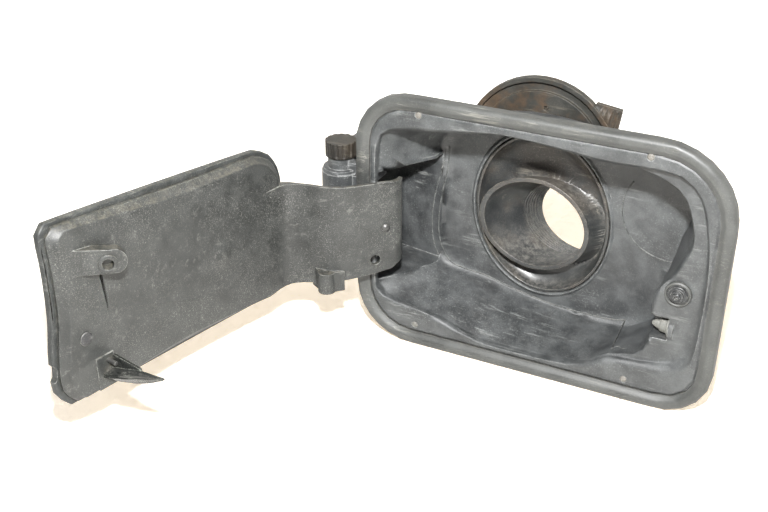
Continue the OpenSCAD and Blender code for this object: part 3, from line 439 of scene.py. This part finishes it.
class Wardrobe:
    """Holds the built materials and puts them on nodes and pieces."""

    def __init__(self) -> None:
        """Builds the shared effects, every finish and the sweeping trees once."""
        EffectLibrary().build()
        self.sweeper = Sweeper()
        self.materials = {finish.name: finish.build() for finish in FINISHES}

    def keep(self, node: str, finish: Finish) -> None:
        """Gives a CAD node that stays in view its finish."""
        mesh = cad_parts[node].data
        mesh.materials.clear()
        mesh.materials.append(self.materials[finish.name])
        LOG.info("kept %s in %s", node, finish.name)

    def dress(self, piece: bpy.types.Object, body: Body, finish: Finish,
              replaces: tuple[str, ...] = ()) -> bpy.types.Object:
        """Gives a new piece its finish, its body, and the CAD nodes that it stands for.

        Args:
            piece: the piece, with its place in its mesh.
            body: the body that it moves with.
            finish: its finish.
            replaces: the CAD nodes that it stands for.

        Returns:
            The piece.
        """
        piece.data.materials.clear()
        piece.data.materials.append(self.materials[finish.name])
        for face in piece.data.polygons:
            face.material_index = 0
        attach(piece, body.value)
        if replaces:
            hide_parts(*replaces)
        LOG.info("built %s, %d faces", piece.name, len(piece.data.polygons))
        return piece

    def refine(self, node: str, name: str, body: Body, finish: Finish,
               smooth_angle: float = 32.0) -> bpy.types.Object:
        """Builds a smooth shaded copy of a CAD node that stands for it.

        Args:
            node: the CAD node.
            name: the new piece's name.
            body: the body that it moves with.
            finish: its finish.
            smooth_angle: degrees up to which two faces shade as one surface.

        Returns:
            The dressed piece.
        """
        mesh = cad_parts[node].data.copy()
        mesh.name = name
        shape = bmesh.new()
        shape.from_mesh(mesh)
        bmesh.ops.remove_doubles(shape, verts=shape.verts, dist=WELD)
        bmesh.ops.dissolve_limit(shape, angle_limit=FLAT, verts=shape.verts, edges=shape.edges)
        shape.to_mesh(mesh)
        shape.free()
        return self.dress(self.finished(mesh, name, smooth_angle), body, finish, (node,))

    @staticmethod
    def finished(mesh: bpy.types.Mesh, name: str, smooth_angle: float) -> bpy.types.Object:
        """Turns a mesh into a piece whose faces shade smooth up to an angle.

        Args:
            mesh: the mesh, in place.
            name: the piece's name.
            smooth_angle: degrees up to which two faces shade as one surface.

        Returns:
            The piece, with area weighted normals.
        """
        mesh.shade_smooth()
        mesh.set_sharp_from_angle(angle=math.radians(smooth_angle))
        raw = bpy.data.objects.new(name + "_raw", mesh)
        bpy.context.scene.collection.objects.link(raw)
        weight = raw.modifiers.new("weighted", "WEIGHTED_NORMAL")
        weight.keep_sharp = True
        return baked(raw, name)


def baked(raw: bpy.types.Object, name: str) -> bpy.types.Object:
    """Turns an object with modifiers into a plain mesh piece and removes the object.

    Args:
        raw: the object with live modifiers.
        name: the new piece's name.

    Returns:
        The piece, with its mesh as the modifiers leave it.
    """
    bpy.context.view_layer.update()
    graph = bpy.context.evaluated_depsgraph_get()
    mesh = bpy.data.meshes.new_from_object(raw.evaluated_get(graph), depsgraph=graph)
    mesh.name = name
    bpy.data.objects.remove(raw)
    piece = bpy.data.objects.new(name, mesh)
    bpy.context.scene.collection.objects.link(piece)
    return piece


def plain_mesh(name: str, points: list[Vector], faces: Iterable[list[int]] = (),
               edges: Iterable[tuple[int, int]] = ()) -> bpy.types.Mesh:
    """Builds a mesh whose faces look outwards.

    Args:
        name: the mesh's name.
        points: its corners.
        faces: lists of corners.
        edges: pairs of corners, for a line without faces.

    Returns:
        The mesh.
    """
    mesh = bpy.data.meshes.new(name)
    mesh.from_pydata(points, edges, faces)
    if faces:
        shape = bmesh.new()
        shape.from_mesh(mesh)
        bmesh.ops.recalc_face_normals(shape, faces=shape.faces)
        shape.to_mesh(mesh)
        shape.free()
    return mesh


def lofted(rings: list[list[Vector]]) -> tuple[list[Vector], list[list[int]]]:
    """Joins rings of points into one closed skin with a flat face at each end.

    Args:
        rings: the rings, each with the same number of points.

    Returns:
        The corners and the faces.
    """
    n = len(rings[0])
    faces = [list(range(n)), [(len(rings) - 1) * n + i for i in range(n)]]
    for j in range(len(rings) - 1):
        for i in range(n):
            k = (i + 1) % n
            faces.append([j * n + i, j * n + k, (j + 1) * n + k, (j + 1) * n + i])
    return [p for ring in rings for p in ring], faces


class Sweeper:
    """Geometry Nodes trees that repeat a line or sweep a round wire along it."""

    SOCKETS = {"Geometry": "NodeSocketGeometry", "Wire Radius": "NodeSocketFloat",
               "Sides": "NodeSocketInt", "Material": "NodeSocketMaterial"}

    def __init__(self) -> None:
        """Builds the three trees once."""
        self.cord = self.tree("swept_cord", {}, self.cord_line)
        self.stack = self.tree("ring_stack", {"Count": "NodeSocketInt", "Step": "NodeSocketVector"},
                               self.stacked_line)
        self.coil = self.tree("wire_coil", {
            "Turns": "NodeSocketFloat", "Coil Radius": "NodeSocketFloat",
            "Height": "NodeSocketFloat"}, self.coil_line)

    def tree(self, name: str, extra: dict[str, str],
             line: Callable[[Tree, dict[str, Socket]], Socket]) -> bpy.types.NodeTree:
        """Builds one tree that sweeps a wire along the line that a method gives.

        Args:
            name: the tree's name.
            extra: the inputs beyond the shared ones, with their socket types.
            line: the method that adds the line's nodes and returns its curve.

        Returns:
            The tree.
        """
        group = bpy.data.node_groups.new(name, "GeometryNodeTree")
        for key, kind in {**self.SOCKETS, **extra}.items():
            group.interface.new_socket(key, in_out="INPUT", socket_type=kind)
        group.interface.new_socket("Geometry", in_out="OUTPUT", socket_type="NodeSocketGeometry")
        tree = Tree(group)
        given = {s.name: s for s in tree.add("NodeGroupInput").outputs}
        wire = tree.add("GeometryNodeCurvePrimitiveCircle", {
            "Resolution": given["Sides"], "Radius": given["Wire Radius"]}, mode="RADIUS")
        swept = tree.add("GeometryNodeCurveToMesh", {
            "Curve": line(tree, given), "Profile Curve": wire.outputs["Curve"], "Fill Caps": True})
        round_off = tree.add("GeometryNodeSetShadeSmooth", {"Geometry": swept.outputs[0]})
        real = tree.add("GeometryNodeRealizeInstances", {"Geometry": round_off.outputs[0]})
        painted = tree.add("GeometryNodeSetMaterial", {"Geometry": real.outputs[0],
                                                       "Material": given["Material"]})
        tree.add("NodeGroupOutput", {"Geometry": painted.outputs[0]})
        return group

    @staticmethod
    def cord_line(tree: Tree, given: dict[str, Socket]) -> Socket:
        """Takes the line as it comes in."""
        return tree.add("GeometryNodeMeshToCurve", {"Mesh": given["Geometry"]}).outputs[0]

    @staticmethod
    def stacked_line(tree: Tree, given: dict[str, Socket]) -> Socket:
        """Repeats the line that comes in at equal steps."""
        places = tree.add("GeometryNodeMeshLine", {"Count": given["Count"], "Offset": given["Step"]})
        copies = tree.add("GeometryNodeInstanceOnPoints", {
            "Points": places.outputs[0], "Instance": given["Geometry"]})
        real = tree.add("GeometryNodeRealizeInstances", {"Geometry": copies.outputs[0]})
        return tree.add("GeometryNodeMeshToCurve", {"Mesh": real.outputs[0]}).outputs[0]

    @staticmethod
    def coil_line(tree: Tree, given: dict[str, Socket]) -> Socket:
        """Winds a coil upwards from the origin."""
        return tree.add("GeometryNodeCurveSpiral", {
            "Resolution": 40, "Rotations": given["Turns"], "Start Radius": given["Coil Radius"],
            "End Radius": given["Coil Radius"], "Height": given["Height"]}).outputs[0]

    @staticmethod
    def run(group: bpy.types.NodeTree, name: str, line: bpy.types.Mesh,
            values: dict) -> bpy.types.Object:
        """Runs a tree once and keeps its result as a plain piece.

        Args:
            group: the tree.
            name: the piece's name.
            line: the mesh that comes in.
            values: the tree's inputs by name.

        Returns:
            The piece, not yet dressed.
        """
        raw = bpy.data.objects.new(name + "_raw", line)
        bpy.context.scene.collection.objects.link(raw)
        modifier = raw.modifiers.new(group.name, "NODES")
        modifier.node_group = group
        for socket in group.interface.items_tree:
            if socket.in_out == "INPUT" and socket.name in values:
                modifier[socket.identifier] = values[socket.name]
        return baked(raw, name)

    def sweep(self, name: str, points: list[Vector], radius: float,
              material: bpy.types.Material, sides: int = 8) -> bpy.types.Object:
        """Sweeps a round wire along an open line of points."""
        line = plain_mesh(name, points, edges=[(i, i + 1) for i in range(len(points) - 1)])
        return self.run(self.cord, name, line, {"Wire Radius": radius * MM, "Sides": sides,
                                                "Material": material})


def laid_on(piece: bpy.types.Object, line: list[Vector], start: Vector, way: Vector,
            lift: float) -> list[Vector]:
    """Drops a line onto a piece's surface.

    Args:
        piece: the piece.
        line: the points in the part's frame.
        start: an offset from each point to where its drop starts.
        way: the direction of the drop.
        lift: millimetres that the line stays above the surface.

    Returns:
        The points that met the surface, in order.
    """
    tree = BVHTree.FromPolygons([v.co for v in piece.data.vertices],
                                [tuple(f.vertices) for f in piece.data.polygons])
    met = [tree.ray_cast(p + start, way.normalized())[0] for p in line]
    return [p - way.normalized() * lift * MM for p in met if p is not None]


@dataclass
class PocketGroup:
    """The pocket with its rubber lip, its pegs, the filler sleeve and the boot behind."""

    smooth_angle: float = 32.0
    tube_from: tuple[float, float, float] = (104.0, 48.0, 80.0)
    tube_yaw: float = -35.0
    tube_dip: float = -94.0
    tube_r: float = 25.5
    groove_y: float = 70.2
    groove_step: float = 1.75
    grooves: int = 6
    groove_wire_r: float = 0.45
    groove_sides: int = 120
    bead_r: float = 0.42
    bead_lift: float = 0.05
    bead_drop: float = 12.0
    circle_arc: tuple[int, int, int] = (146, 280, 4)
    circle: tuple[float, float, float] = (186.5, 102.5, 30.6)
    ridge_outer: tuple = ((38.6, 117.5), (37.4, 106.8), (33.2, 93.0), (30.6, 80.0), (29.3, 66.7),
                          (30.6, 50.0), (34.6, 40.0))
    ridge_inner: tuple = ((41.0, 120.0), (40.2, 104.0), (37.0, 88.0), (34.8, 72.0), (34.8, 58.0),
                          (38.2, 45.8), (45.0, 37.0), (56.0, 34.2), (70.3, 32.6), (88.1, 27.9),
                          (105.4, 24.4), (119.8, 22.3), (139.3, 21.6), (159.6, 22.4), (176.0, 27.6))

    def build(self, wardrobe: Wardrobe) -> None:
        """Builds and dresses the group's pieces."""
        for node, name, finish in (
                ("housing", "pocket_shell", HOUSING), ("rim_seal", "rubber_lip", RUBBER),
                ("filler_sleeve", "sleeve_bowl", SLEEVE), ("rear_boot", "boot", BOOT)):
            piece = wardrobe.refine(node, name, Body.POCKET, finish, self.smooth_angle)
            if node == "housing":
                self.marks(wardrobe, piece)
        self.tube_grooves(wardrobe)
        wardrobe.keep("fixing_pegs", PALE)

    def marks(self, wardrobe: Wardrobe, shell: bpy.types.Object) -> None:
        """Adds the thin pale beads of the back wall: the round mark and the ridge lines, pale partly as
        rub marks and partly as painted highlight along the ridges.
        """
        x, z, r = self.circle
        turns = [math.radians(a) for a in range(*self.circle_arc)]
        lines = {"round_mark": [from_rim(x + r * math.cos(a), 0.0, z + r * math.sin(a)) for a in turns]}
        for name, points in (("ridge_outer", self.ridge_outer), ("ridge_inner", self.ridge_inner)):
            lines[name] = [from_rim(p.x, 0.0, p.y) for p in curved(points)]
        inward = Vector((0, 1, 0))
        for name, line in lines.items():
            laid = laid_on(shell, line, inward * (self.bead_drop * MM), inward, self.bead_lift)
            piece = wardrobe.sweeper.sweep(name, laid, self.bead_r, wardrobe.materials[RUB_AND_RIDGE_HIGHLIGHT.name])
            wardrobe.dress(piece, Body.POCKET, RUB_AND_RIDGE_HIGHLIGHT)

    def tube_grooves(self, wardrobe: Wardrobe) -> None:
        """Adds the fine rings inside the rear of the tube, cut parallel to the rim."""
        place = (Matrix.Rotation(math.radians(self.tube_yaw), 3, "Z")
                 @ Matrix.Rotation(math.radians(self.tube_dip), 3, "X"))
        axis = place @ Vector((0, 0, 1))
        start = Vector(self.tube_from)
        n = self.groove_sides
        ring = []
        for i in range(n):
            a = math.tau * i / n
            side = start + place @ Vector((self.tube_r * math.cos(a), self.tube_r * math.sin(a), 0))
            ring.append(from_rim(*(side + axis * (self.groove_y - side.y) / axis.y)))
        line = plain_mesh("tube_rings", ring, edges=[(i, (i + 1) % n) for i in range(n)])
        piece = wardrobe.sweeper.run(wardrobe.sweeper.stack, "tube_rings", line, {
            "Count": self.grooves, "Step": axis * (self.groove_step / axis.y * MM),
            "Wire Radius": self.groove_wire_r * MM, "Sides": 8,
            "Material": wardrobe.materials[SLEEVE.name]})
        wardrobe.dress(piece, Body.POCKET, SLEEVE)


@dataclass
class LockGroup:
    """The bolt on the lock platform and the push-pull lock behind it."""

    finishes: tuple[tuple[str, Finish], ...] = (
        ("fixing_bolt", BLACK_STEEL), ("bolt_washer", BLACK_STEEL), ("bolt_grommet", RUBBER),
        ("actuator_body", LOCK), ("actuator_cover", LOCK), ("actuator_screws", ZINC),
        ("connector_terminals", BRASS), ("plunger_guide", GREY), ("lock_plunger", GREY))

    def build(self, wardrobe: Wardrobe) -> None:
        """Dresses the lock's nodes."""
        for node, finish in self.finishes:
            wardrobe.keep(node, finish)


@dataclass
class HingeGroup:
    """The tower with its notched cap, the pin, the bushes and the spring."""

    spring_turns: float = 6.0
    spring_r: float = 4.8
    wire_r: float = 0.8
    spring_z0: float = 57.1
    spring_z1: float = 89.4

    def build(self, wardrobe: Wardrobe) -> None:
        """Dresses the hinge's nodes."""
        wardrobe.refine("hinge_cap", "tower_cap", Body.POCKET, CAP)
        for node, finish in (("hinge_bush_upper", PALE), ("hinge_bush_lower", PALE),
                             ("hinge_pin", ZINC), ("pin_clip", ZINC)):
            wardrobe.keep(node, finish)
        self.spring(wardrobe)

    def spring(self, wardrobe: Wardrobe) -> None:
        """Winds the hinge spring on the pin."""
        empty = bpy.data.meshes.new("coil_spring")
        piece = wardrobe.sweeper.run(wardrobe.sweeper.coil, "coil_spring", empty, {
            "Turns": self.spring_turns, "Coil Radius": self.spring_r * MM,
            "Height": (self.spring_z1 - self.spring_z0) * MM, "Wire Radius": self.wire_r * MM,
            "Sides": 10, "Material": wardrobe.materials[ZINC.name]})
        piece.data.transform(Matrix.Translation(from_rim(*HINGE, self.spring_z0)))
        wardrobe.dress(piece, Body.DOOR, ZINC, ("hinge_spring",))


@dataclass
class DoorGroup:
    """The door with its arm, eye, hook and outer cover."""

    smooth_angle: float = 32.0
    hook_back: float = 169.6
    hook_bulge: float = 5.3
    hook_from: float = 5.0
    hook_run: float = 45.6
    hook_web: float = 1.8
    hook_taper: float = 0.6
    hook_foot: float = 0.4
    hook_side_steps: int = 32
    hook_back_steps: int = 8
    flutes: int = 4
    flute_depth: float = 0.75
    flute_fade: float = 0.35
    hook_spine: tuple = ((5.2, 44.0, 52.9), (12.0, 45.9, 55.0), (18.0, 47.8, 56.8),
                         (25.5, 50.2, 59.3), (31.0, 52.4, 61.2), (36.0, 54.6, 62.2),
                         (41.0, 57.2, 62.6), (45.0, 59.6, 63.1), (48.5, 61.4, 63.6),
                         (50.4, 62.9, 63.5))
    fin_outline: tuple = ((5.2, 51.5), (5.2, 58.6), (6.6, 60.2), (8.6, 60.4), (31.6, 62.3),
                          (32.4, 60.6), (18.0, 55.0))
    fin_t: float = 1.5
    fin_lean: float = 0.42
    fin_foot_z: float = 54.0
    fin_run: float = 27.0
    dent: tuple[float, float, float, float] = (14.5, 51.0, 4.3, 175.1)
    dome_at: tuple[float, float] = (83.0, 85.0)
    dome_y: float = 5.5
    dome_r: float = 12.0
    dome_h: float = 1.9
    dome_sink: float = 0.12
    dome_skirt: float = 1.2
    dome_tip_r: float = 0.02
    dome_rings: int = 12
    dome_sides: int = 48
    tab_line: tuple = ((18.0, -4.6, 113.2), (21.5, -1.4, 113.2), (24.6, 1.5, 113.0), (26.6, 4.0, 112.2))
    tab_r: float = 1.1

    def build(self, wardrobe: Wardrobe) -> None:
        """Builds and dresses the door's pieces."""
        for node, name, finish in (
                ("door_carrier", "carrier", DOOR), ("door_cover", "cover", COVER),
                ("eye_bush", "eye_ring", DOOR)):
            wardrobe.refine(node, name, Body.DOOR, finish, self.smooth_angle)
        self.hook(wardrobe)
        self.dome(wardrobe)
        self.end_tab(wardrobe)
        for node, finish in (("door_buffer", LOCK), ("hook_screw", ZINC), ("stop_rivet", ZINC),
                             ("stop_buffer", LOCK)):
            wardrobe.keep(node, finish)

    def hook(self, wardrobe: Wardrobe) -> None:
        """Builds the hook: a fluted boat with a thin fin, and a dent where the plunger sits."""
        rings = [self.hook_ring(*spine) for spine in curved(self.hook_spine, 4)]
        points, faces = lofted(rings)
        fin = []
        for side in (0.0, self.fin_t):
            for y, z in self.fin_outline:
                near = max(0.0, 1.0 - (y - self.hook_from) / self.fin_run)
                lean = self.fin_lean * (z - self.fin_foot_z) * near
                fin.append(from_closed(self.hook_back + side - lean, y, z))
        n, first = len(self.fin_outline), len(points)
        faces += [[first + i for i in range(n)], [first + n + i for i in range(n)]]
        faces += [[first + i, first + (i + 1) % n, first + n + (i + 1) % n, first + n + i]
                  for i in range(n)]
        mesh = plain_mesh("hook", points + fin, faces)
        wardrobe.dress(wardrobe.finished(mesh, "hook", 50.0), Body.DOOR, HOOK, ("latch_hook",))

    def hook_ring(self, y: float, low: float, top: float) -> list[Vector]:
        """One section of the hook across its length.

        Args:
            y: the section's depth behind the lip, with the door closed.
            low: the height of its keel.
            top: the height of its upper edge.

        Returns:
            The section's points, from the keel up the lock side and down the back.
        """
        share = min(1.0, max(0.0, (y - self.hook_from) / self.hook_run))
        bulge = self.hook_bulge * (1.0 - share ** 1.7)
        flute = self.flute_depth - self.flute_fade * share
        web = self.hook_back + self.hook_web * (1.0 - self.hook_taper * share)
        dent_y, dent_z, dent_r, dent_x = self.dent
        ring = []
        for i in range(self.hook_side_steps + 1):
            t = i / self.hook_side_steps
            x = web + bulge * math.sin(math.pi * t ** 1.35)
            x -= flute * (0.5 - 0.5 * math.cos(math.tau * self.flutes * t)) * min(1.0, bulge / 2.0)
            z = low + (top - low) * t
            if math.hypot(y - dent_y, z - dent_z) < dent_r:
                x = min(x, dent_x)
            ring.append(from_closed(x, y, z))
        for i in range(1, self.hook_back_steps):
            down = (low + self.hook_foot - top) * i / self.hook_back_steps
            ring.append(from_closed(self.hook_back, y, top + down))
        return ring

    def dome(self, wardrobe: Wardrobe) -> None:
        """Builds the soft round bump in the middle of the door's inner face."""
        rings = []
        for i in range(self.dome_rings + 1):
            share = i / self.dome_rings
            height = self.dome_h * (0.5 + 0.5 * math.cos(math.pi * share)) - self.dome_sink
            rings.append(self.dome_ring(max(self.dome_tip_r, self.dome_r * share), height))
        rings.append(self.dome_ring(self.dome_r, -self.dome_skirt))
        mesh = plain_mesh("dome", *lofted(rings))
        wardrobe.dress(wardrobe.finished(mesh, "dome", 60.0), Body.DOOR, DOOR)

    def dome_ring(self, r: float, height: float) -> list[Vector]:
        """One round of the dome, by its radius and its height above the door's face."""
        x, z = self.dome_at
        turns = [math.tau * k / self.dome_sides for k in range(self.dome_sides)]
        return [from_closed(x + r * math.cos(a), self.dome_y + height, z + r * math.sin(a))
                for a in turns]

    def end_tab(self, wardrobe: Wardrobe) -> None:
        """Builds the rolled tab on the upper corner of the arm's end."""
        line = [from_rim(*p) for p in curved(self.tab_line, 5)]
        piece = wardrobe.sweeper.sweep("end_tab", line, self.tab_r, wardrobe.materials[DOOR.name], 14)
        wardrobe.dress(piece, Body.DOOR, DOOR)


@dataclass
class Studio:
    """The pale floor, the walls behind, the flash and the camera."""

    eye: Vector = field(default_factory=lambda: Vector((0.18445, -0.5578, 0.3090)))
    look: Vector = field(default_factory=lambda: Vector((-0.3921, 0.7865, -0.4772)))
    lens: float = 51.56
    floor_z: float = -0.0868
    seam: tuple[tuple[float, float], ...] = ((-1.493, -1.280), (-0.083, 0.829), (1.483, -1.295))
    floor_half: float = 6.0
    wall_h: float = 1.6
    floor_colour: Colour = (0.86, 0.83, 0.78)
    # The beige floor glow is painted shade: near the object it tints the floor's shadows.
    floor_glow: Colour = (0.62, 0.50, 0.36)
    wall_colour: Colour = (0.86, 0.86, 0.84)
    wall_glow: Colour = (0.62, 0.60, 0.56)
    far_glow: Colour = (0.93, 0.925, 0.91)
    flash_lift: float = 0.145
    flash_power: float = 13.5
    flash_size: float = 0.03
    world_strength: float = 0.10
    shade_tint_reach: tuple[float, float] = (0.24, 0.46)

    def build(self) -> None:
        """Builds the stage, the light and the camera."""
        self.stage()
        self.light()
        self.camera()

    def paper(self, name: str, colour: Colour, glow: Colour) -> bpy.types.Material:
        """A matt paint, nearly white in the camera, that takes a shadow and is clear from behind.

        Args:
            name: the material's name.
            colour: the paint's colour.
            glow: the light that the camera sees on top of the flash's; near the object its tone is
                painted shade, the colour of the floor's shadows.

        Returns:
            The material.
        """
        material = bpy.data.materials.new(name)
        material.use_nodes = True
        material.node_tree.nodes.clear()
        tree = Tree(material.node_tree)
        place = tree.add("ShaderNodeTexCoord").outputs["Object"]
        cloud = tree.ramp(tree.noise(place, 420.0, 5.0, 0.75), 0.35, 0.65)
        tone = tree.mix(cloud, colour, tuple(c * 0.88 for c in colour))
        shine = tree.mix(cloud, glow, tuple(c * 0.72 for c in glow))
        away = tree.add("ShaderNodeVectorMath", {0: place}, operation="LENGTH").outputs["Value"]
        # Painted shade: near the object the glow keeps its beige tone, which shows as the colour of the
        # floor's shadows; further out it turns to the white far glow.
        shine = tree.mix(tree.ramp(away, *self.shade_tint_reach), shine, self.far_glow)
        paint = tree.add("ShaderNodeBsdfDiffuse", {"Color": tone})
        path = tree.add("ShaderNodeLightPath").outputs
        glowing = tree.add("ShaderNodeEmission", {"Color": shine, "Strength": path["Is Camera Ray"]})
        both = tree.add("ShaderNodeAddShader", {0: paint.outputs[0], 1: glowing.outputs[0]})
        behind = tree.add("ShaderNodeNewGeometry").outputs["Backfacing"]
        clear = tree.add("ShaderNodeBsdfTransparent")
        sheet = tree.add("ShaderNodeMixShader", {0: behind, 1: both.outputs[0], 2: clear.outputs[0]})
        tree.add("ShaderNodeOutputMaterial", {"Surface": sheet.outputs[0]})
        return material

    def stage(self) -> None:
        """Builds the floor and the two walls that meet behind the object."""
        far = self.floor_half
        self.sheet("floor", [(-far, -far, 0), (far, -far, 0), (far, far, 0), (-far, far, 0)],
                   self.paper("floor_paint", self.floor_colour, self.floor_glow))
        wall = self.paper("wall_paint", self.wall_colour, self.wall_glow)
        for i in range(len(self.seam) - 1):
            a, b = self.seam[i], self.seam[i + 1]
            self.sheet(f"wall_{i + 1}", [(*a, 0), (*b, 0), (*b, self.wall_h), (*a, self.wall_h)], wall)

    def sheet(self, name: str, corners: list[tuple], material: bpy.types.Material) -> None:
        """Builds one flat sheet of the stage, from corners given above the floor."""
        mesh = bpy.data.meshes.new(name)
        mesh.from_pydata([(x, y, z + self.floor_z) for x, y, z in corners], [], [(0, 1, 2, 3)])
        mesh.materials.append(material)
        piece = bpy.data.objects.new(name, mesh)
        bpy.context.scene.collection.objects.link(piece)

    def light(self) -> None:
        """Adds the flash above the camera and an even pale world."""
        lamp = bpy.data.lights.new("flash", "AREA")
        lamp.energy = self.flash_power
        lamp.size = self.flash_size
        rig = bpy.data.objects.new("flash", lamp)
        turn = self.look.to_track_quat("-Z", "Y")
        rig.location = self.eye + turn @ Vector((0.0, self.flash_lift, 0.0))
        rig.rotation_euler = turn.to_euler()
        bpy.context.scene.collection.objects.link(rig)
        world = bpy.data.worlds.new("room")
        world.use_nodes = True
        world.node_tree.nodes["Background"].inputs["Color"].default_value = (1.0, 0.995, 0.985, 1.0)
        world.node_tree.nodes["Background"].inputs["Strength"].default_value = self.world_strength
        bpy.context.scene.world = world
        bpy.context.scene.view_settings.view_transform = "Standard"

    def camera(self) -> None:
        """Places the camera where the photograph was taken from."""
        data = bpy.data.cameras.new("camera")
        data.lens = self.lens
        data.sensor_width = 36.0
        data.sensor_fit = "HORIZONTAL"
        data.clip_start = 0.02
        rig = bpy.data.objects.new("camera", data)
        rig.location = self.eye
        rig.rotation_euler = self.look.to_track_quat("-Z", "Y").to_euler()
        bpy.context.scene.collection.objects.link(rig)
        bpy.context.scene.camera = rig


def main() -> None:
    """Builds the object's groups in order, then the stage."""
    logging.basicConfig(level=logging.INFO, format="%(name)s: %(message)s")
    wardrobe = Wardrobe()
    for group in (PocketGroup(), LockGroup(), HingeGroup(), DoorGroup()):
        group.build(wardrobe)
    Studio().build()


if __name__ == "__main__":
    main()
